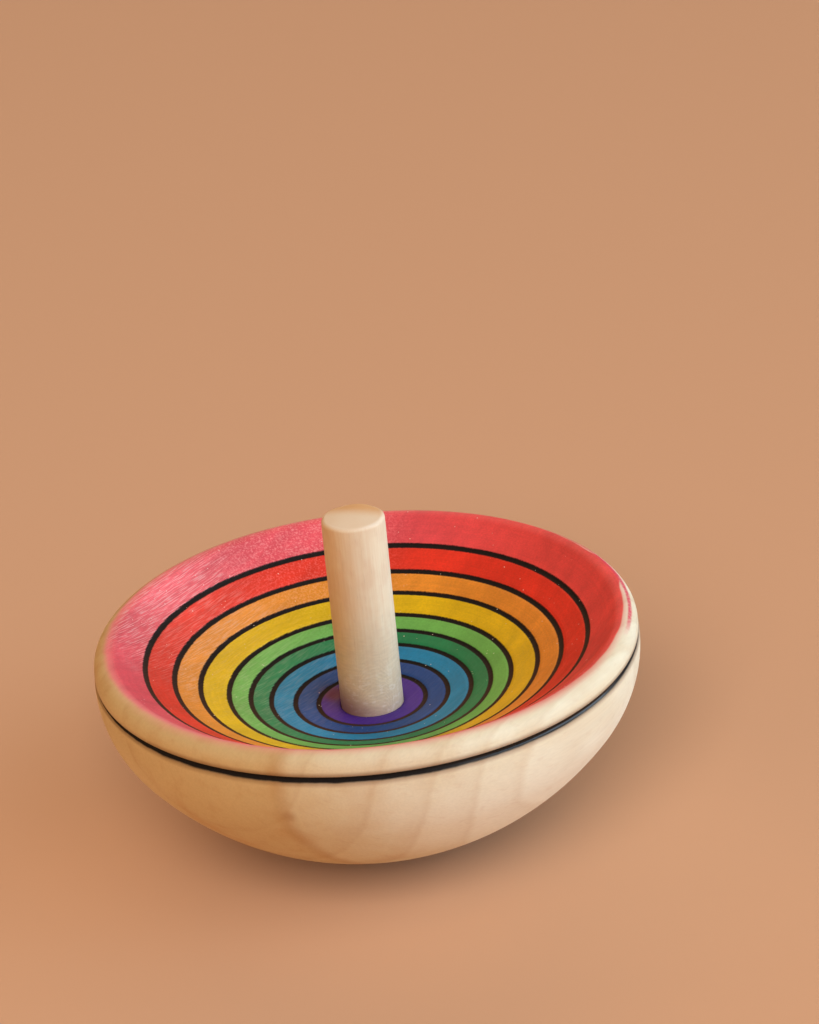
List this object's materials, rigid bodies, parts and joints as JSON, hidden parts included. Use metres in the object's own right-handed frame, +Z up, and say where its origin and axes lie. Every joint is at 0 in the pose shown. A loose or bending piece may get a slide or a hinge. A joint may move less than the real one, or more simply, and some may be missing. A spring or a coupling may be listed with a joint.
{
  "type": "spinning top",
  "caption": "Turned wooden finger top: a heavy-bottomed bowl with a rainbow-dyed dish ruled by thin black lines, spun by a straight stem glued through its centre.",
  "frame": {"origin": "lowest point of the stem's rounded tip, on the spin axis, where the upright top touches the table", "axes": "+Z up along the spin axis, from the tip to the finger end; the bowl's wood grain runs level, across the axis"},
  "size_m": [0.0596, 0.0596, 0.0388],
  "materials": {
    "bowl_maple": "bare turned maple outside, dyed bands and black lines in the dish, thin satin oil",
    "stem_maple": "bare turned maple, thin satin oil"
  },
  "bodies": {
    "root": {"bowl": "bowl_maple", "stem": "stem_maple"}
  },
  "joints": []
}
